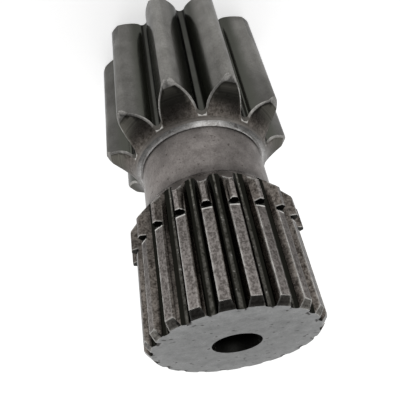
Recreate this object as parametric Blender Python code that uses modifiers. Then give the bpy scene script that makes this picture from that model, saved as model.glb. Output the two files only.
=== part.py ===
"""Sun gear of a planetary reduction: a ten-tooth pinion and a splined stub, cut from one forging.

The part stands on the flat end of its gear teeth. The axis is +Z, the origin is the middle of that
end, and one gear tooth points along +X. The blank is turned, and the spaces between the gear teeth
and between the spline teeth are then cut along the axis.
"""
import math

import bmesh
import bpy

MM = 0.001

# Gear teeth, involute spur, cut deep and topped short
GEAR_TEETH = 10
GEAR_MODULE = 5.3 * MM
GEAR_PRESSURE_ANGLE = math.radians(25.0)
GEAR_TOOTH_THICKNESS = 12.9 * MM      # along the pitch circle
GEAR_TIP_RADIUS = 34.7 * MM
GEAR_ROOT_RADIUS = 25.0 * MM
GEAR_ROOT_ROUNDING = 1.5 * MM
GEAR_TIP_ROUNDING = 1.0 * MM
GEAR_WIDTH = 64.3 * MM                # from the end face to the shoulder at the neck
TIP_RELIEF_DEPTH = 1.6 * MM           # at the neck
TIP_RELIEF_LENGTH = 2.0 * MM
END_RELIEF_DEPTH = 1.0 * MM           # at the end face
END_RELIEF_LENGTH = 2.0 * MM
END_CHAMFER_DEPTH = 6.4 * MM
END_CHAMFER_LENGTH = 1.9 * MM

# Hollow that the teeth run down to at the neck
SHOULDER_RADIUS = 24.0 * MM
HOLLOW_RADIUS = 14.0 * MM
HOLLOW_HEIGHT = 9.1 * MM
DEBURRING = 0.6 * MM                  # bevel between the flanks and the hollow
ROOT_DEBURRING = 0.5                  # bevel at the root, as a share of DEBURRING

# Neck between the gear and the spline
NECK_RADIUS = 22.0 * MM
NECK_LENGTH = 20.5 * MM
NECK_GEAR_FILLET = 0.6 * MM
NECK_SPLINE_FILLET = 3.0 * MM

# Spline teeth, full height beside the neck and turned down over the rest
SPLINE_TEETH = 21
SPLINE_MODULE = 2.5 * MM
SPLINE_PRESSURE_ANGLE = math.radians(27.0)
SPLINE_TOOTH_THICKNESS = 3.25 * MM    # along the pitch circle
SPLINE_FULL_RADIUS = 28.0 * MM
SPLINE_FULL_LENGTH = 7.1 * MM
SPLINE_TURNED_RADIUS = 26.5 * MM
SPLINE_TURNED_LENGTH = 29.9 * MM
SPLINE_ROOT_RADIUS = 23.9 * MM
SPLINE_ROOT_ROUNDING = 0.8 * MM
SPLINE_CONE_ANGLE = math.radians(38.0)  # between the cone at the neck and the axis
SPLINE_END_CHAMFER_DEPTH = 1.9 * MM
SPLINE_END_CHAMFER_LENGTH = 2.0 * MM
SPLINE_PHASE = math.radians(6.0)      # from the gear tooth on +X to the next spline tooth

# Recess between the full and the turned teeth
GROOVE_RADIUS = 26.2 * MM
GROOVE_WIDTH = 1.2 * MM

# Drilled bore in the spline end
BORE_RADIUS = 7.1 * MM
BORE_DEPTH = 40.0 * MM
BORE_MOUTH_CHAMFER = 0.3 * MM
DRILL_POINT_ANGLE = math.radians(59.0)  # between the drill's cone and the axis

# Turning centre in the gear end
CENTRE_RADIUS = 4.0 * MM
CENTRE_PILOT_RADIUS = 1.6 * MM
CENTRE_PILOT_DEPTH = 8.0 * MM
CENTRE_CONE_ANGLE = math.radians(30.0)

# Fineness
TURNING_STEPS = 105                   # five to each spline tooth
FILLET_STEPS = 3
HOLLOW_STEPS = 8
GEAR_FLANK_STEPS = 8
SPLINE_FLANK_STEPS = 3
ROOT_STEPS = 6
TIP_STEPS = 4
LEAST_TIP_WIDTH = 0.2 * MM
CUTTER_OVERRUN = 2.0 * MM             # past the ends of the teeth
DEBURRING_OVERRUN = 0.6 * MM          # past the surface of the hollow
MOUTH_OVERRUN = 1.1                   # past the tips, as a share of the tip radius
MERGE_DISTANCE = 0.00001
SMOOTH_ANGLE = math.radians(25.0)

STEEL_COLOUR = (0.17, 0.165, 0.16, 1.0)
STEEL_ROUGHNESS = 0.45


def involute(angle):
    """The involute function, in radians."""
    return math.tan(angle) - angle


def arc_points(centre, radius, start, end, steps):
    """Points on an arc in the plane of a profile, both ends included."""
    angles = [start + (end - start) * i / steps for i in range(steps + 1)]
    return [(centre[0] + radius * math.cos(a), centre[1] + radius * math.sin(a)) for a in angles]


def hollow_arc():
    """Inner end, outer end and centre of the hollow's arc, which is HOLLOW_RADIUS from both ends."""
    start = (SHOULDER_RADIUS, GEAR_WIDTH)
    end = (GEAR_TIP_RADIUS - TIP_RELIEF_DEPTH, GEAR_WIDTH - HOLLOW_HEIGHT)
    run = end[0] - start[0]
    drop = start[1] - end[1]
    chord = math.hypot(run, drop)
    to_centre = math.sqrt(HOLLOW_RADIUS ** 2 - (chord / 2) ** 2)
    middle = ((start[0] + end[0]) / 2, (start[1] + end[1]) / 2)
    centre = (middle[0] + to_centre * drop / chord, middle[1] + to_centre * run / chord)
    return start, end, centre


def hollow_points():
    """Points on the hollow from the shoulder out and down to the tips of the teeth."""
    start, end, centre = hollow_arc()
    first = math.atan2(start[1] - centre[1], start[0] - centre[0])
    last = math.atan2(end[1] - centre[1], end[0] - centre[0])
    return arc_points(centre, HOLLOW_RADIUS, first % math.tau, last % math.tau, HOLLOW_STEPS)


def turned_end(radius):
    """Height of the teeth's turned end at a radius, and its slant: 1 if level, near 0 if upright."""
    start, end, centre = hollow_arc()
    if radius > end[0]:
        drop = (radius - end[0]) * TIP_RELIEF_LENGTH / TIP_RELIEF_DEPTH
        return end[1] - drop, TIP_RELIEF_DEPTH / math.hypot(TIP_RELIEF_DEPTH, TIP_RELIEF_LENGTH)
    rise = math.sqrt(HOLLOW_RADIUS ** 2 - (centre[0] - max(radius, start[0])) ** 2)
    return centre[1] - rise, rise / HOLLOW_RADIUS


def new_collection(name):
    collection = bpy.data.collections.new(name)
    bpy.context.scene.collection.children.link(collection)
    return collection


def spline_levels():
    """Heights of the steps from the gear to the spline end, upwards."""
    neck_top = GEAR_WIDTH + NECK_LENGTH
    cone = (SPLINE_FULL_RADIUS - NECK_RADIUS) / math.tan(SPLINE_CONE_ANGLE)
    full_start = neck_top + cone
    full_end = full_start + SPLINE_FULL_LENGTH
    turned_start = full_end + GROOVE_WIDTH
    return {
        "neck_top": neck_top,
        "full_start": full_start,
        "full_end": full_end,
        "turned_start": turned_start,
        "end": turned_start + SPLINE_TURNED_LENGTH,
    }


def bore_profile(end):
    """The bore in the spline end, from its drilled tip out to the mouth."""
    wall_bottom = end - BORE_DEPTH
    tip = wall_bottom - BORE_RADIUS / math.tan(DRILL_POINT_ANGLE)
    return [
        (0.0, tip),
        (BORE_RADIUS, wall_bottom),
        (BORE_RADIUS, end - BORE_MOUTH_CHAMFER),
        (BORE_RADIUS + BORE_MOUTH_CHAMFER, end),
    ]


def spline_profile(levels):
    """The outside of the spline, from the end face down to the neck."""
    end = levels["end"]
    half_turn = SPLINE_CONE_ANGLE / 2
    fillet_reach = NECK_SPLINE_FILLET * math.tan(half_turn)
    fillet_centre = (NECK_RADIUS + NECK_SPLINE_FILLET, levels["neck_top"] - fillet_reach)
    return [
        (SPLINE_TURNED_RADIUS - SPLINE_END_CHAMFER_DEPTH, end),
        (SPLINE_TURNED_RADIUS, end - SPLINE_END_CHAMFER_LENGTH),
        (SPLINE_TURNED_RADIUS, levels["turned_start"]),
        (GROOVE_RADIUS, levels["turned_start"]),
        (GROOVE_RADIUS, levels["full_end"]),
        (SPLINE_FULL_RADIUS, levels["full_end"]),
        (SPLINE_FULL_RADIUS, levels["full_start"]),
    ] + arc_points(fillet_centre, NECK_SPLINE_FILLET, math.pi - SPLINE_CONE_ANGLE, math.pi, FILLET_STEPS)


def gear_profile():
    """The outside of the gear, from the neck's fillet down to the end face."""
    fillet_centre = (NECK_RADIUS + NECK_GEAR_FILLET, GEAR_WIDTH + NECK_GEAR_FILLET)
    fillet = arc_points(fillet_centre, NECK_GEAR_FILLET, math.pi, 1.5 * math.pi, FILLET_STEPS)
    end_radius = GEAR_TIP_RADIUS - END_RELIEF_DEPTH
    return fillet + hollow_points() + [
        (GEAR_TIP_RADIUS, GEAR_WIDTH - HOLLOW_HEIGHT - TIP_RELIEF_LENGTH),
        (GEAR_TIP_RADIUS, END_CHAMFER_LENGTH + END_RELIEF_LENGTH),
        (end_radius, END_CHAMFER_LENGTH),
        (end_radius - END_CHAMFER_DEPTH, 0.0),
    ]


def centre_profile():
    """The turning centre in the gear end, from its rim up to its tip."""
    cone_depth = (CENTRE_RADIUS - CENTRE_PILOT_RADIUS) / math.tan(CENTRE_CONE_ANGLE)
    return [
        (CENTRE_RADIUS, 0.0),
        (CENTRE_PILOT_RADIUS, cone_depth),
        (CENTRE_PILOT_RADIUS, CENTRE_PILOT_DEPTH),
        (0.0, CENTRE_PILOT_DEPTH + CENTRE_PILOT_RADIUS / math.tan(DRILL_POINT_ANGLE)),
    ]


def turned_blank(collection):
    """The forging as it leaves the lathe: one profile turned about the axis."""
    levels = spline_levels()
    profile = bore_profile(levels["end"]) + spline_profile(levels) + gear_profile() + centre_profile()
    mesh = bpy.data.meshes.new("sun_gear")
    points = [(radius, 0.0, height) for radius, height in profile]
    edges = [(i, i + 1) for i in range(len(points) - 1)]
    mesh.from_pydata(points, edges, [])
    blank = bpy.data.objects.new("sun_gear", mesh)
    collection.objects.link(blank)
    screw = blank.modifiers.new("turning", "SCREW")
    screw.axis = "Z"
    screw.angle = math.tau
    screw.steps = TURNING_STEPS
    screw.render_steps = TURNING_STEPS
    screw.use_merge_vertices = True
    screw.merge_threshold = MERGE_DISTANCE
    return blank


def half_space_angle(radius, teeth, pitch_radius, pressure_angle, tooth_thickness, inset):
    """Half the angle of the space between two teeth at a radius, with the flanks set in by inset."""
    base_radius = pitch_radius * math.cos(pressure_angle)
    here = math.acos(min(1.0, base_radius / radius))
    half_tooth = tooth_thickness / (2 * pitch_radius) + involute(pressure_angle) - involute(here)
    return math.pi / teeth - max(half_tooth - inset / radius, LEAST_TIP_WIDTH / (2 * radius))


def flank_levels(start, outer, steps, tip_rounding):
    """Radii of a flank's points, each with how far the round at the tip sets the flank in."""
    straight = outer - tip_rounding
    levels = [(start + (straight - start) * i / steps, 0.0) for i in range(steps + 1)]
    if tip_rounding > 0:
        for i in range(1, TIP_STEPS + 1):
            turn = math.pi / 2 * i / TIP_STEPS
            levels.append((straight + tip_rounding * math.sin(turn), tip_rounding * (1 - math.cos(turn))))
    return levels


def space_outline(
    teeth, module, pressure_angle, thickness, root, rounding, outer, steps, tip_rounding=0.0, inset=0.0,
):
    """Outline of one tooth space, open side outwards, its middle line along +X."""
    pitch_radius = teeth * module / 2
    flank = []
    for radius, tip_inset in flank_levels(root + rounding, outer, steps, tip_rounding):
        half = half_space_angle(radius, teeth, pitch_radius, pressure_angle, thickness, inset + tip_inset)
        flank.append((radius * math.cos(half), radius * math.sin(half)))
    mouth_x, mouth_y = flank[-1]
    flank.append((mouth_x * MOUTH_OVERRUN, mouth_y * MOUTH_OVERRUN))
    foot_x, foot_y = flank[0]
    bottom = []
    for i in range(1, ROOT_STEPS):
        turn = math.pi * (i / ROOT_STEPS - 0.5)
        bottom.append((foot_x - (foot_x - root) * math.cos(turn), foot_y * math.sin(turn)))
    mirrored = [(x, -y) for x, y in reversed(flank)]
    return mirrored + bottom + flank


def prism_mesh(name, outline, bottom, top):
    """A closed prism with the given outline, made from a filled flat curve."""
    curve = bpy.data.curves.new(name, "CURVE")
    curve.dimensions = "2D"
    curve.fill_mode = "BOTH"
    curve.extrude = (top - bottom) / 2
    spline = curve.splines.new("POLY")
    spline.points.add(len(outline) - 1)
    for point, (x, y) in zip(spline.points, outline):
        point.co = (x, y, 0.0, 1.0)
    spline.use_cyclic_u = True
    holder = bpy.data.objects.new(name, curve)
    bpy.context.scene.collection.objects.link(holder)
    depsgraph = bpy.context.evaluated_depsgraph_get()
    mesh = bpy.data.meshes.new_from_object(holder.evaluated_get(depsgraph))
    bpy.data.objects.remove(holder)
    solid = bmesh.new()
    solid.from_mesh(mesh)
    bmesh.ops.remove_doubles(solid, verts=solid.verts, dist=MERGE_DISTANCE)
    bmesh.ops.translate(solid, verts=solid.verts, vec=(0.0, 0.0, (bottom + top) / 2))
    bmesh.ops.recalc_face_normals(solid, faces=solid.faces)
    solid.to_mesh(mesh)
    solid.free()
    return mesh


def space_cutters(collection, name, mesh, teeth, first_tooth):
    """One cutter in each space between the teeth."""
    pitch = math.tau / teeth
    for i in range(teeth):
        cutter = bpy.data.objects.new(f"{name}_{i + 1}", mesh)
        cutter.rotation_euler.z = first_tooth + (i + 0.5) * pitch
        cutter.hide_render = True
        cutter.display_type = "WIRE"
        collection.objects.link(cutter)


def gear_outline(inset):
    """Outline of one space between the gear teeth, widened by inset on both flanks."""
    return space_outline(
        GEAR_TEETH, GEAR_MODULE, GEAR_PRESSURE_ANGLE, GEAR_TOOTH_THICKNESS,
        GEAR_ROOT_RADIUS - inset * ROOT_DEBURRING, GEAR_ROOT_ROUNDING,
        GEAR_TIP_RADIUS, GEAR_FLANK_STEPS, GEAR_TIP_ROUNDING, inset,
    )


def loft_mesh(name, rows):
    """A closed solid through rows of as many points each, from the bottom row to the top one."""
    solid = bmesh.new()
    loops = [[solid.verts.new(point) for point in row] for row in rows]
    count = len(rows[0])
    for lower, upper in zip(loops, loops[1:]):
        for i in range(count):
            after = (i + 1) % count
            solid.faces.new((lower[i], lower[after], upper[after], upper[i]))
    solid.faces.new(loops[0])
    solid.faces.new(loops[-1])
    bmesh.ops.recalc_face_normals(solid, faces=solid.faces)
    mesh = bpy.data.meshes.new(name)
    solid.to_mesh(mesh)
    solid.free()
    return mesh


def gear_cutters(collection):
    """Spaces with straight walls that flare where they leave through the hollow."""
    straight = gear_outline(0.0)
    flared = gear_outline(DEBURRING + DEBURRING_OVERRUN)
    bottom = [(x, y, -CUTTER_OVERRUN) for x, y in straight]
    flare_start = []
    for x, y in straight:
        height, slant = turned_end(math.hypot(x, y))
        flare_start.append((x, y, height - DEBURRING / slant))
    flare_end = []
    for x, y in flared:
        height, slant = turned_end(math.hypot(x, y))
        flare_end.append((x, y, height + DEBURRING_OVERRUN / slant))
    top = [(x, y, GEAR_WIDTH + CUTTER_OVERRUN) for x, y in flared]
    mesh = loft_mesh("gear_space", [bottom, flare_start, flare_end, top])
    space_cutters(collection, "gear_space", mesh, GEAR_TEETH, 0.0)


def spline_cutters(collection):
    levels = spline_levels()
    outline = space_outline(
        SPLINE_TEETH, SPLINE_MODULE, SPLINE_PRESSURE_ANGLE, SPLINE_TOOTH_THICKNESS,
        SPLINE_ROOT_RADIUS, SPLINE_ROOT_ROUNDING, SPLINE_FULL_RADIUS, SPLINE_FLANK_STEPS,
    )
    bottom = levels["neck_top"] - CUTTER_OVERRUN
    mesh = prism_mesh("spline_space", outline, bottom, levels["end"] + CUTTER_OVERRUN)
    space_cutters(collection, "spline_space", mesh, SPLINE_TEETH, SPLINE_PHASE)


def steel():
    material = bpy.data.materials.new("dark_steel")
    material.use_nodes = True
    shader = material.node_tree.nodes["Principled BSDF"]
    shader.inputs["Base Color"].default_value = STEEL_COLOUR
    shader.inputs["Metallic"].default_value = 1.0
    shader.inputs["Roughness"].default_value = STEEL_ROUGHNESS
    return material


def cut_teeth(blank, cutters):
    """Cuts every tooth space from the blank and leaves it as one plain mesh."""
    cut = blank.modifiers.new("tooth spaces", "BOOLEAN")
    cut.operation = "DIFFERENCE"
    cut.solver = "EXACT"
    cut.operand_type = "COLLECTION"
    cut.collection = cutters
    depsgraph = bpy.context.evaluated_depsgraph_get()
    mesh = bpy.data.meshes.new_from_object(blank.evaluated_get(depsgraph))
    blank.modifiers.clear()
    blank.data = mesh
    mesh.shade_smooth()
    mesh.set_sharp_from_angle(angle=SMOOTH_ANGLE)


def build():
    for item in list(bpy.data.objects):
        bpy.data.objects.remove(item)
    part = new_collection("sun gear")
    cutters = new_collection("cutters")
    blank = turned_blank(part)
    gear_cutters(cutters)
    spline_cutters(cutters)
    cut_teeth(blank, cutters)
    blank.data.materials.clear()
    blank.data.materials.append(steel())


build()
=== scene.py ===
"""Looks of the sun gear: its finishes, worn edges lightened partly as painted highlight, painted shade in its
spaces and recesses, pale floor, soft light and the photograph's view.
"""

import math

import bmesh
import bpy
from mathutils import Matrix, Vector


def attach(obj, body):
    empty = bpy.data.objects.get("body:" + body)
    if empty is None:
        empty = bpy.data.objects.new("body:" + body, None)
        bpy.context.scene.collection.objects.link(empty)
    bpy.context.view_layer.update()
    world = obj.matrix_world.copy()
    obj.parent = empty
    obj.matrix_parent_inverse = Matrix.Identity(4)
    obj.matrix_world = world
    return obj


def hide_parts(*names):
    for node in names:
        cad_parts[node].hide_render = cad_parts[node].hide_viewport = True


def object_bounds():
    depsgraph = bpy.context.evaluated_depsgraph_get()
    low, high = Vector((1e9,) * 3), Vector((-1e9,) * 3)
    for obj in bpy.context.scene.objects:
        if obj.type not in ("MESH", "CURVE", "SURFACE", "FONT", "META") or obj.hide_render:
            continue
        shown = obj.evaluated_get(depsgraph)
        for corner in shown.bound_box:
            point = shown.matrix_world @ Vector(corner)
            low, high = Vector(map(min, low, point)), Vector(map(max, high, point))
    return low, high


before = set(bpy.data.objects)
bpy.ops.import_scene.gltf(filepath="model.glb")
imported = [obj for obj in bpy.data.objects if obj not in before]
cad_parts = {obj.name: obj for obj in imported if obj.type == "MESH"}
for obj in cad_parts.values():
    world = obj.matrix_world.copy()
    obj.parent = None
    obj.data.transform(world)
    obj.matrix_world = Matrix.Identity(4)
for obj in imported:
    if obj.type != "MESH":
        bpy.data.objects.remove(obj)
cad_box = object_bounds()

MM = 0.001

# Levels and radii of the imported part, as in its source
GEAR_TEETH = 10
GEAR_END = 64.3 * MM
SHOULDER_RADIUS = 24.0 * MM
HOLLOW_RADIUS = 14.0 * MM
HOLLOW_CENTRE = (37.34 * MM, 68.54 * MM)
GEAR_ROOT_RADIUS = 25.0 * MM
SPLINE_ROOT_RADIUS = 23.9 * MM
SPLINE_TEETH = 21
SPLINE_PHASE = math.radians(6.0)
NECK_TOP = GEAR_END + 20.5 * MM
FULL_START = 92.48 * MM
FULL_END = FULL_START + 7.1 * MM
TURNED_START = FULL_END + 1.2 * MM
TOP = cad_box[1].z

# How far from those a face may lie and still belong to them
SLACK = 0.01 * MM
RING_SLACK = 0.1 * MM
HOLLOW_SLACK = 0.12 * MM
NECK_FILLET = 0.6 * MM
GEAR_ROOT_REACH = 0.7 * MM
SPLINE_ROOT_REACH = 0.8 * MM
BORE_REACH = 8.0 * MM
RECESS_REACH = 1.3 * MM
CHAMFER_REACH = 2.1 * MM
LAND_RADIUS = 25.5 * MM

# How far upwards or outwards a face has to look, as a share of its normal
STEEP = 0.06
HOLLOW_UP = 0.2
CHAMFER_UP = 0.3
RECESS_WALL_UP = 0.5
RECESS_FLOOR_OUT = 0.9
LAND_OUT = 0.97
CONE_DOWN = 0.1

# Radii and levels between which a finish changes, in the order of the change
FLANK_ROOT_SHADE = (31.8 * MM, 28.2 * MM)
FLANK_TIP_HIGHLIGHT = (33.2 * MM, 34.4 * MM)
HOLLOW_OUTWARDS = (26.5 * MM, 29.5 * MM)
HOLLOW_INWARDS = (24.8 * MM, 24.0 * MM)
SPACE_FOOT = (GEAR_ROOT_RADIUS - 0.46 * MM, GEAR_ROOT_RADIUS - 0.22 * MM)
RING_OUTWARDS = (22.8 * MM, SHOULDER_RADIUS)
RING_UPWARDS = (GEAR_END, GEAR_END + 0.4 * MM)
EDGE_INWARDS = (27.5 * MM, 26.2 * MM)
EDGE_FOOT = (25.9 * MM, 25.5 * MM)
EDGE_CORNER = (31.5 * MM, 33.2 * MM)
NECK_NEAR_SPLINE = (NECK_TOP - 4.2 * MM, NECK_TOP - 0.5 * MM)
NECK_NEAR_GEAR = (GEAR_END + 0.8 * MM, GEAR_END + 3.5 * MM)
STEP_HIGHLIGHT_LEVELS = (TURNED_START + 0.5 * MM, TURNED_START + 0.3 * MM)
SIDE_WORN_LIT_RADIUS = 25.8 * MM
END_OUTWARDS = (17.0 * MM, 26.0 * MM)
END_RIM = (22.7 * MM, 23.2 * MM)
BORE_INWARDS = (TOP - 0.5 * MM, TOP - 4.0 * MM)

# The same across a tooth space, in the measure of Steel.teeth
GAP_SIDES = (0.03, 0.09)
FOOT_SIDES = (0.22, 0.1)
ROOT_SIDES = (0.0, 0.125)
END_NICK_SIDES = (0.7, 0.3)

# Camera, in the photograph's place
CAMERA_X = 18.97 * MM
CAMERA_Y = -128.37 * MM
CAMERA_ABOVE_TOP = 43.34 * MM
CAMERA_HEADING = math.radians(97.11)
CAMERA_PITCH = math.radians(36.39)
CAMERA_ROLL = math.radians(169.41)
CAMERA_LENS = 41.155
SENSOR_WIDTH = 36.0
NEAREST = 0.005
FURTHEST = 20.0

# Facets that are joined, and edges that stay sharp
WELD = 0.02 * MM
FLAT_ANGLE = math.radians(0.5)
EDGE_ANGLE = math.radians(25.0)

# Steel: scales of its noises, and the part of each that is used
FINE_GRAIN = 1600.0
WORN_LIT_PATCHES = 420.0
TURNING_MARKS = 3400.0
TURNING_BENDS = 60.0
END_NICKS = 330.0
BLOTCH_RANGE = (0.3, 0.7)
CLOUD_RANGE = (0.38, 0.62)
MARK_RANGE = (0.35, 0.65)
PATCH_RANGE = (0.35, 0.6)
END_NICK_RANGE = (0.5, 0.54)
SPOT_RIM = 0.05

# Steel: turning marks, relief, gloss, edge wear with painted highlight, and colours, some of them painted
# highlight and painted shade
TURNING_WOBBLE = 0.3 * MM
TURNING_CLIMB = 0.6                   # how far a mark moves with the level, compared with the radius
TURNING_DEPTH = 1.5                   # compared with the grain's
BUMP_DEPTH = 0.04 * MM
WORN_LIT_REACH = 1.1 * MM
WORN_LIT_RIM = 0.5 * MM
WORN_LIT_LEAST = 0.35
WORN_LIT_SAMPLES = 8
WORN_LIT_BEND = (0.99, 0.93)              # cosines of the bend at which the lightening of worn, lit edges starts and is full
BLOTCH_MATT = 0.05
BLOTCH_GLOSS = 0.04
RING_LEAN = math.radians(62.0)
FOOT_STRENGTH = 0.8
# Light steel laid over worn edges, and as painted highlight at the feet of the gear's spaces, past the spline
# recess and in the roots' specks
WEAR_AND_HIGHLIGHT = (0.57, 0.56, 0.535)
# Painted shade for the sides of the gear's tooth spaces and of the spline roots
CORNER_SHADE = (0.01, 0.01, 0.008)
NICKED = (0.03, 0.027, 0.026)
GRAZING_TINT = (0.67, 0.67, 0.67, 1.0)
NO_TINT = (0.0, 0.0, 0.0, 1.0)

# Floor, and the room's grey at each height, from the horizon to straight above
FLOOR_SIZE = 8.0
FLOOR_DROP = 0.2 * MM
FLOOR_GREY = 0.8
FLOOR_GLOW = 0.66
ROOM = ((0.0, 0.45), (0.25, 0.17), (0.5, 0.09), (0.8, 0.1))

# Pale backdrop, and a low panel across from it: where each lies, how far its even part and its rim
# reach round that, and its strength
BACKDROP = ((-0.11, 0.9, 0.42), math.radians(50.0), math.radians(82.0), 1.0)
FRONT_PANEL = ((-0.25, -0.94, 0.24), math.radians(8.0), math.radians(35.0), 1.15)


def grey(level):
    return (level, level, level, 1.0)


def place_camera():
    data = bpy.data.cameras.new("camera")
    data.lens = CAMERA_LENS
    data.sensor_width = SENSOR_WIDTH
    data.clip_start = NEAREST
    data.clip_end = FURTHEST
    camera = bpy.data.objects.new("camera", data)
    bpy.context.scene.collection.objects.link(camera)
    place = Matrix.Translation((CAMERA_X, CAMERA_Y, TOP + CAMERA_ABOVE_TOP))
    turn = Matrix.Rotation(CAMERA_HEADING - math.pi / 2, 4, "Z")
    tilt = Matrix.Rotation(math.pi / 2 - CAMERA_PITCH, 4, "X")
    roll = Matrix.Rotation(CAMERA_ROLL, 4, "Z")
    camera.matrix_world = place @ turn @ tilt @ roll
    bpy.context.scene.camera = camera


class Nodes:
    """A short way to write a shader's node tree."""

    def __init__(self, tree):
        self.tree = tree
        tree.nodes.clear()

    def add(self, kind, inputs=None, **settings):
        node = self.tree.nodes.new(kind)
        for name, value in settings.items():
            setattr(node, name, value)
        for name, value in (inputs or {}).items():
            socket = node.inputs[name]
            if isinstance(value, bpy.types.NodeSocket):
                self.tree.links.new(value, socket)
            else:
                socket.default_value = value
        return node

    def math(self, operation, first, second=0.0, third=0.0):
        inputs = {0: first, 1: second, 2: third}
        return self.add("ShaderNodeMath", inputs, operation=operation).outputs[0]

    def band(self, value, low, high):
        """0 below low, 1 above high, smooth between."""
        inputs = {"Value": value, "From Min": low, "From Max": high, "To Min": 0.0, "To Max": 1.0}
        node = self.add("ShaderNodeMapRange", inputs, interpolation_type="SMOOTHSTEP", clamp=True)
        return node.outputs["Result"]

    def spread(self, value, low, high, to_low, to_high):
        inputs = {"Value": value, "From Min": low, "From Max": high, "To Min": to_low, "To Max": to_high}
        return self.add("ShaderNodeMapRange", inputs, clamp=True).outputs["Result"]

    def mix(self, factor, first, second):
        inputs = {"Factor": factor, 6: first, 7: second}
        return self.add("ShaderNodeMix", inputs, data_type="RGBA").outputs[2]

    def noise(self, vector, scale, detail=3.0, roughness=0.55):
        inputs = {"Vector": vector, "Scale": scale, "Detail": detail, "Roughness": roughness}
        return self.add("ShaderNodeTexNoise", inputs).outputs["Fac"]


class Steel:
    """A finish of oiled steel: a blotched and grainy colour, with more layers added over it."""

    def __init__(self, name, light, dark, roughness, blotch_scale=160.0, grain_scale=1800.0, softness=0.12):
        self.material = bpy.data.materials.new(name)
        self.material.use_nodes = True
        self.nodes = Nodes(self.material.node_tree)
        self.roughness = roughness
        self.place = self.nodes.add("ShaderNodeTexCoord").outputs["Object"]
        self.flat = self.vector("MULTIPLY", self.place, (1.0, 1.0, 0.0)).outputs[0]
        self.radius = self.vector("LENGTH", self.flat).outputs["Value"]
        self.level = self.nodes.add("ShaderNodeSeparateXYZ", {0: self.place}).outputs["Z"]
        self.blotch = self.nodes.noise(self.place, blotch_scale, detail=4.0, roughness=0.6)
        self.relief = self.nodes.noise(self.place, grain_scale, roughness=0.65)
        shade = self.nodes.math("MULTIPLY", self.nodes.math("ADD", self.relief, self.blotch), 0.5)
        share = self.nodes.spread(shade, 0.5 - softness, 0.5 + softness, 0.0, 1.0)
        self.colour = self.nodes.mix(share, (*dark, 1.0), (*light, 1.0))
        self.normal = self.nodes.add("ShaderNodeNewGeometry").outputs["Normal"]

    def vector(self, operation, first, second=None, scale=None):
        inputs = {0: first}
        if second is not None:
            inputs[1] = second
        if scale is not None:
            inputs["Scale"] = scale
        return self.nodes.add("ShaderNodeVectorMath", inputs, operation=operation)

    def scale(self, factor):
        self.colour = self.vector("SCALE", self.colour, scale=factor).outputs[0]

    def shade(self, value, start, end, first, last):
        """The colour is scaled by first at the start, by last at the end and evenly between."""
        self.scale(self.nodes.spread(value, start, end, first, last))

    def cover(self, share, colour):
        self.colour = self.nodes.mix(share, self.colour, (*colour, 1.0))

    def cloud(self, scale, least, shift):
        """Broad darker clouds, laid where the shift puts them: partly uneven tone of the steel, partly
        painted shade.
        """
        shifted = self.vector("ADD", self.place, shift).outputs[0]
        self.shade(self.nodes.noise(shifted, scale, detail=2.0), *CLOUD_RANGE, least, 1.0)

    def fade(self, value, start, end, colour):
        """The colour takes over as the value goes from start to end."""
        self.cover(self.nodes.band(value, start, end), colour)

    def teeth(self, count, phase):
        """2 at the middle of every tooth, 0 at the middle of every space."""
        sides = self.nodes.add("ShaderNodeSeparateXYZ", {0: self.place}).outputs
        angle = self.nodes.math("ARCTAN2", sides["Y"], sides["X"])
        turn = self.nodes.math("MULTIPLY", self.nodes.math("SUBTRACT", angle, phase), count)
        return self.nodes.math("ADD", self.nodes.math("COSINE", turn), 1.0)

    def turned(self, least, most):
        """Fine rings round the axis, a little uneven."""
        across = self.nodes.math("MULTIPLY_ADD", self.level, TURNING_CLIMB, self.radius)
        bends = self.nodes.noise(self.place, TURNING_BENDS, detail=2.0)
        wobble = self.nodes.math("MULTIPLY", bends, TURNING_WOBBLE)
        along = self.nodes.add("ShaderNodeCombineXYZ", {0: self.nodes.math("ADD", across, wobble)}).outputs[0]
        marks = self.nodes.noise(along, TURNING_MARKS, detail=2.0, roughness=0.7)
        self.shade(marks, *MARK_RANGE, least, most)
        self.relief = self.nodes.math("MULTIPLY_ADD", marks, TURNING_DEPTH, self.relief)

    def spots(self, scale, least, strength, colour, squash=(1.0, 1.0, 1.0)):
        """Small marks where a noise is above the least value."""
        squashed = self.vector("MULTIPLY", self.place, squash).outputs[0]
        marks = self.nodes.noise(squashed, scale, detail=1.5, roughness=0.5)
        share = self.nodes.band(marks, least, least + SPOT_RIM)
        self.cover(self.nodes.math("MULTIPLY", share, strength), colour)

    def worn_lit_edges(self, strength, from_radius=0.0):
        """Edges lightened where a bevel finds a bend: partly rubbed wear, partly a painted highlight where
        rounded edges would catch the light.
        """
        eased = self.nodes.add("ShaderNodeBevel", {"Radius": WORN_LIT_REACH}, samples=WORN_LIT_SAMPLES).outputs[0]
        bend = self.vector("DOT_PRODUCT", eased, self.normal).outputs["Value"]
        edge = self.nodes.spread(bend, *WORN_LIT_BEND, 0.0, strength)
        patches = self.nodes.noise(self.place, WORN_LIT_PATCHES)
        edge = self.nodes.math("MULTIPLY", edge, self.nodes.spread(patches, *PATCH_RANGE, WORN_LIT_LEAST, 1.0))
        if from_radius > 0.0:
            outer = self.nodes.band(self.radius, from_radius, from_radius + WORN_LIT_RIM)
            edge = self.nodes.math("MULTIPLY", edge, outer)
        # Edge colour lightened: wear and painted highlight
        self.cover(edge, WEAR_AND_HIGHLIGHT)

    def lean(self, angle):
        """Shades an upward face as if it leaned outwards."""
        outward = self.vector("NORMALIZE", self.flat).outputs[0]
        leaning = self.vector("SCALE", outward, scale=math.tan(angle)).outputs[0]
        upright = self.vector("ADD", leaning, (0.0, 0.0, 1.0)).outputs[0]
        self.normal = self.vector("NORMALIZE", upright).outputs[0]

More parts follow.
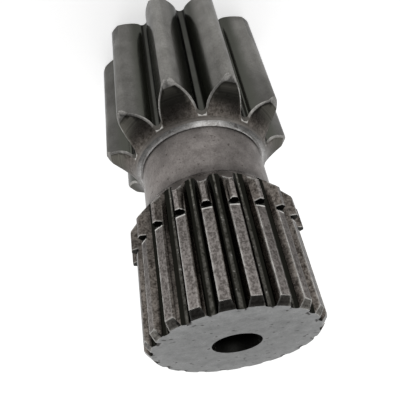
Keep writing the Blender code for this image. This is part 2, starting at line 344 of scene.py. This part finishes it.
    def done(self, grain=0.15, tint=GRAZING_TINT):
        """Joins the layers into the shader."""
        bump_inputs = {
            "Strength": grain,
            "Distance": BUMP_DEPTH,
            "Height": self.relief,
            "Normal": self.normal,
        }
        matt = self.roughness + BLOTCH_MATT
        glossy = self.roughness - BLOTCH_GLOSS
        settings = {
            "Base Color": self.colour,
            "Metallic": 1.0,
            "Roughness": self.nodes.spread(self.blotch, *BLOTCH_RANGE, matt, glossy),
            "Specular Tint": tint,
            "Normal": self.nodes.add("ShaderNodeBump", bump_inputs).outputs[0],
        }
        shader = self.nodes.add("ShaderNodeBsdfPrincipled", settings)
        self.nodes.add("ShaderNodeOutputMaterial", {"Surface": shader.outputs[0]})
        return self.material


def gear_finishes():
    flank = Steel("ground_flank", light=(0.269, 0.263, 0.248), dark=(0.167, 0.162, 0.15), roughness=0.2)
    flank.cloud(scale=20.0, least=0.55, shift=(0.642, -0.834, -0.219))
    flank.cloud(scale=27.0, least=0.75, shift=(-0.682, -0.158, -0.978))
    # Darker towards the tooth roots: painted shade. Lighter towards the tooth tips: painted highlight.
    flank.fade(flank.radius, *FLANK_ROOT_SHADE, colour=(0.074, 0.076, 0.065))
    flank.shade(flank.radius, *FLANK_TIP_HIGHLIGHT, first=1.0, last=1.25)

    gap = Steel("gap_floor", light=(0.066, 0.067, 0.06), dark=(0.048, 0.049, 0.043), roughness=0.24)
    # Painted shade towards the sides of each tooth space, leaving a lighter strip down its middle
    gap.fade(gap.teeth(GEAR_TEETH, 0.0), *GAP_SIDES, colour=CORNER_SHADE)

    hollow = Steel(
        "turned_hollow", light=(0.219, 0.195, 0.175), dark=(0.064, 0.055, 0.046), roughness=0.3,
        blotch_scale=700.0,
    )
    hollow.fade(hollow.radius, *HOLLOW_OUTWARDS, colour=(0.137, 0.131, 0.113))
    # Lighter next to the shoulder ring: painted highlight
    hollow.fade(hollow.radius, *HOLLOW_INWARDS, colour=(0.19, 0.176, 0.162))
    hollow.cloud(scale=50.0, least=0.58, shift=(0.476, -0.77, 0.654))
    hollow.turned(least=0.7, most=1.15)
    # A light band at the foot of each tooth space, next to the shoulder: painted highlight
    foot = hollow.nodes.band(hollow.radius, *SPACE_FOOT)
    middle = hollow.nodes.band(hollow.teeth(GEAR_TEETH, 0.0), *FOOT_SIDES)
    foot = hollow.nodes.math("MULTIPLY", foot, middle)
    hollow.cover(hollow.nodes.math("MULTIPLY", foot, FOOT_STRENGTH), WEAR_AND_HIGHLIGHT)

    # The ring's light colour is partly polished steel and partly painted highlight; its darkening towards the
    # outer rim and on the fillet up to the neck is painted shade.
    ring = Steel(
        "bright_shoulder", light=(0.85, 0.84, 0.83), dark=(0.48, 0.46, 0.44), roughness=0.33,
        blotch_scale=300.0,
    )
    ring.turned(least=0.75, most=1.1)
    ring.shade(ring.radius, *RING_OUTWARDS, first=1.0, last=0.65)
    ring.shade(ring.level, *RING_UPWARDS, first=1.0, last=0.75)
    ring.spots(scale=500.0, least=0.62, strength=0.6, colour=(0.12, 0.1, 0.09))
    ring.lean(RING_LEAN)

    edge = Steel(
        "worn_edge", light=(0.47, 0.458, 0.435), dark=(0.29, 0.281, 0.266), roughness=0.38,
        blotch_scale=900.0,
    )
    edge.fade(edge.radius, *EDGE_INWARDS, colour=(0.22, 0.211, 0.198))
    edge.fade(edge.radius, *EDGE_FOOT, colour=(0.094, 0.088, 0.079))
    edge.shade(edge.radius, *EDGE_CORNER, first=1.0, last=0.66)
    return {
        "flank": flank.done(),
        "gap": gap.done(),
        "hollow": hollow.done(grain=0.1),
        "ring": ring.done(),
        "edge": edge.done(),
    }


def neck_finishes():
    neck = Steel(
        "turned_neck", light=(0.327, 0.3, 0.285), dark=(0.2, 0.18, 0.17), roughness=0.28,
        blotch_scale=260.0,
    )
    neck.cloud(scale=30.0, least=0.6, shift=(0.682, 0.212, 0.332))
    neck.cloud(scale=27.0, least=0.66, shift=(0.849, 0.122, -0.628))
    neck.spots(scale=800.0, least=0.67, strength=0.6, colour=(0.03, 0.022, 0.018))
    # Darker under the spline's cone and in the corner at the gear's shoulder: painted shade
    neck.shade(neck.level, *NECK_NEAR_SPLINE, first=1.0, last=0.62)
    neck.shade(neck.level, *NECK_NEAR_GEAR, first=0.75, last=1.0)

    # The cone's colour is far lighter than the neck's steel: painted light
    cone = Steel("spline_cone", light=(0.672, 0.623, 0.596), dark=(0.437, 0.396, 0.375), roughness=0.3)
    return {"neck": neck.done(), "cone": cone.done()}


def spline_finishes():
    land = Steel(
        "spline_land", light=(0.268, 0.245, 0.232), dark=(0.114, 0.102, 0.094), roughness=0.3,
        blotch_scale=800.0, grain_scale=FINE_GRAIN, softness=0.07,
    )
    land.cloud(scale=20.0, least=0.6, shift=(-0.745, -0.838, 0.529))
    land.shade(land.level, FULL_END, TURNED_START, first=1.32, last=0.87)
    # A light line on the lands just past the recess: painted highlight
    step_highlight = land.nodes.band(land.level, *STEP_HIGHLIGHT_LEVELS)
    step_highlight = land.nodes.math("MULTIPLY", step_highlight, land.nodes.band(land.level, FULL_END, TURNED_START))
    land.cover(step_highlight, WEAR_AND_HIGHLIGHT)
    land.worn_lit_edges(strength=0.95)

    side = Steel(
        "spline_flank", light=(0.2, 0.178, 0.159), dark=(0.048, 0.041, 0.035), roughness=0.28,
        blotch_scale=700.0, grain_scale=FINE_GRAIN, softness=0.09,
    )
    side.cloud(scale=28.0, least=0.4, shift=(-0.485, -0.975, -0.516))
    side.worn_lit_edges(strength=0.65, from_radius=SIDE_WORN_LIT_RADIUS)

    root = Steel(
        "spline_root", light=(0.102, 0.098, 0.088), dark=(0.017, 0.017, 0.013), roughness=0.22,
        blotch_scale=700.0, grain_scale=FINE_GRAIN,
    )
    # Lighter towards the neck end: painted highlight
    root.shade(root.level, FULL_START, TURNED_START, first=1.6, last=0.95)
    # Bright specks: painted glints
    root.spots(scale=900.0, least=0.66, strength=0.25, colour=WEAR_AND_HIGHLIGHT)
    # Painted shade on the rounded sides of each root, leaving a lighter strip down the middle whose width
    # changes along the spline
    middle = root.teeth(SPLINE_TEETH, SPLINE_PHASE)
    narrowing = root.nodes.spread(root.level, FULL_START, TURNED_START, to_low=2.4, to_high=1.0)
    widening = root.nodes.spread(root.level, TURNED_START, TOP, to_low=1.0, to_high=0.65)
    middle = root.nodes.math("MULTIPLY", middle, root.nodes.math("MULTIPLY", narrowing, widening))
    root.fade(middle, *ROOT_SIDES, colour=CORNER_SHADE)

    # Near-black recess wall and floor: painted shade
    groove = Steel("recess_wall", light=(0.033, 0.033, 0.03), dark=(0.022, 0.022, 0.019), roughness=0.35)

    cut = Steel(
        "spline_chamfer", light=(0.196, 0.186, 0.169), dark=(0.059, 0.054, 0.047), roughness=0.2,
        blotch_scale=700.0, grain_scale=FINE_GRAIN,
    )
    cut.turned(least=0.65, most=1.2)
    cut.worn_lit_edges(strength=0.95)

    end = Steel(
        "end_face", light=(0.262, 0.264, 0.263), dark=(0.182, 0.184, 0.183), roughness=0.3,
        blotch_scale=320.0,
    )
    end.shade(end.radius, *END_OUTWARDS, first=1.0, last=1.22)
    end.spots(scale=420.0, least=0.66, strength=0.9, colour=NICKED, squash=(1.0, 1.7, 1.0))
    nick = end.nodes.band(end.radius, *END_RIM)
    between = end.nodes.band(end.teeth(SPLINE_TEETH, SPLINE_PHASE), *END_NICK_SIDES)
    nick = end.nodes.math("MULTIPLY", nick, between)
    uneven = end.nodes.band(end.nodes.noise(end.place, END_NICKS), *END_NICK_RANGE)
    end.cover(end.nodes.math("MULTIPLY", nick, uneven), NICKED)

    # Near-black bore, darker with depth and without grazing reflection: painted shade
    bore = Steel("bore_wall", light=(0.029, 0.029, 0.027), dark=(0.014, 0.014, 0.013), roughness=0.5)
    bore.fade(bore.level, *BORE_INWARDS, colour=(0.002, 0.002, 0.0016))
    return {
        "land": land.done(),
        "side": side.done(),
        "root": root.done(),
        "groove": groove.done(),
        "cut": cut.done(),
        "end": end.done(grain=0.05),
        "bore": bore.done(tint=NO_TINT),
    }


def region(face):
    """Which finish a face of the part has."""
    centre = face.calc_center_median()
    normal = face.normal
    radii = [math.hypot(vert.co.x, vert.co.y) for vert in face.verts]
    radius = sum(radii) / len(radii)
    upright = normal.z
    if centre.z > TOP - SLACK:
        return "end"
    if radius < BORE_REACH:
        return "bore"
    outward = (normal.x * centre.x + normal.y * centre.y) / radius
    if centre.z < GEAR_END + NECK_FILLET + SLACK:
        if centre.z > GEAR_END - SLACK and radius < SHOULDER_RADIUS + RING_SLACK:
            return "ring"
        if upright > STEEP:
            reach = radius - HOLLOW_CENTRE[0]
            away = math.hypot(reach, centre.z - HOLLOW_CENTRE[1])
            return "hollow" if abs(away - HOLLOW_RADIUS) < HOLLOW_SLACK and upright > HOLLOW_UP else "edge"
        if radius < GEAR_ROOT_RADIUS + GEAR_ROOT_REACH and abs(upright) < STEEP:
            return "gap"
        return "flank"
    if centre.z < NECK_TOP:
        return "neck"
    if centre.z > TOP - CHAMFER_REACH and upright > CHAMFER_UP:
        return "cut"
    if abs(centre.z - FULL_END) < SLACK and upright > RECESS_WALL_UP:
        return "groove"
    if FULL_END - SLACK < centre.z < FULL_END + RECESS_REACH and outward > RECESS_FLOOR_OUT:
        return "groove"
    if outward > LAND_OUT and radius > LAND_RADIUS:
        return "land"
    if centre.z < FULL_START and upright < -CONE_DOWN:
        return "cone"
    return "root" if radius < SPLINE_ROOT_RADIUS + SPLINE_ROOT_REACH else "side"


def dressed_gear():
    """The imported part's own form, with a finish on each face."""
    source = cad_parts["sun_gear"].data
    solid = bmesh.new()
    solid.from_mesh(source)
    bmesh.ops.remove_doubles(solid, verts=solid.verts, dist=WELD)
    bmesh.ops.dissolve_limit(solid, angle_limit=FLAT_ANGLE, verts=solid.verts, edges=solid.edges)
    looks = {**gear_finishes(), **neck_finishes(), **spline_finishes()}
    names = list(looks)
    for face in solid.faces:
        face.material_index = names.index(region(face))
    mesh = bpy.data.meshes.new("dressed_sun_gear")
    solid.to_mesh(mesh)
    solid.free()
    for name in names:
        mesh.materials.append(looks[name])
    mesh.shade_smooth()
    mesh.set_sharp_from_angle(angle=EDGE_ANGLE)
    gear = bpy.data.objects.new("dressed_sun_gear", mesh)
    bpy.context.scene.collection.objects.link(gear)
    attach(gear, "root")
    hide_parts("sun_gear")


def floor():
    bpy.ops.mesh.primitive_plane_add(size=FLOOR_SIZE, location=(0.0, 0.0, -FLOOR_DROP))
    plane = bpy.context.active_object
    plane.name = "floor"
    material = bpy.data.materials.new("pale_floor")
    material.use_nodes = True
    nodes = Nodes(material.node_tree)
    path = nodes.add("ShaderNodeLightPath")
    seen = nodes.math("MAXIMUM", path.outputs["Is Camera Ray"], path.outputs["Is Glossy Ray"])
    seen = nodes.math("MAXIMUM", seen, path.outputs["Is Transmission Ray"])
    matt = nodes.add("ShaderNodeBsdfDiffuse", {"Color": grey(FLOOR_GREY)})
    strength = nodes.math("MULTIPLY", seen, FLOOR_GLOW)
    glow = nodes.add("ShaderNodeEmission", {"Color": grey(1.0), "Strength": strength})
    both = nodes.add("ShaderNodeAddShader", {0: matt.outputs[0], 1: glow.outputs[0]})
    nodes.add("ShaderNodeOutputMaterial", {"Surface": both.outputs[0]})
    plane.data.materials.append(material)


def surroundings():
    """A dim room with a pale backdrop on one side, and a horizon that fades upwards."""
    world = bpy.data.worlds.new("studio")
    bpy.context.scene.world = world
    world.use_nodes = True
    nodes = Nodes(world.node_tree)
    direction = nodes.add("ShaderNodeTexCoord").outputs["Generated"]
    height = nodes.add("ShaderNodeSeparateXYZ", {0: direction}).outputs["Z"]
    ramp = nodes.add("ShaderNodeValToRGB", {"Fac": height})
    stops = ramp.color_ramp.elements
    for position, level in ROOM[1:-1]:
        stops.new(position)
    for stop, (position, level) in zip(stops, ROOM):
        stop.position = position
        stop.color = grey(level)
    colour = ramp.outputs["Color"]
    for side, core, rim, strength in (BACKDROP, FRONT_PANEL):
        inputs = {0: direction, 1: Vector(side).normalized()}
        towards = nodes.add("ShaderNodeVectorMath", inputs, operation="DOT_PRODUCT").outputs["Value"]
        share = nodes.band(towards, math.cos(rim), math.cos(core))
        colour = nodes.mix(share, colour, grey(strength))
    light = nodes.add("ShaderNodeBackground", {"Color": colour, "Strength": 1.0})
    nodes.add("ShaderNodeOutputWorld", {"Surface": light.outputs[0]})


place_camera()
dressed_gear()
floor()
surroundings()
bpy.context.scene.view_settings.view_transform = "Standard"
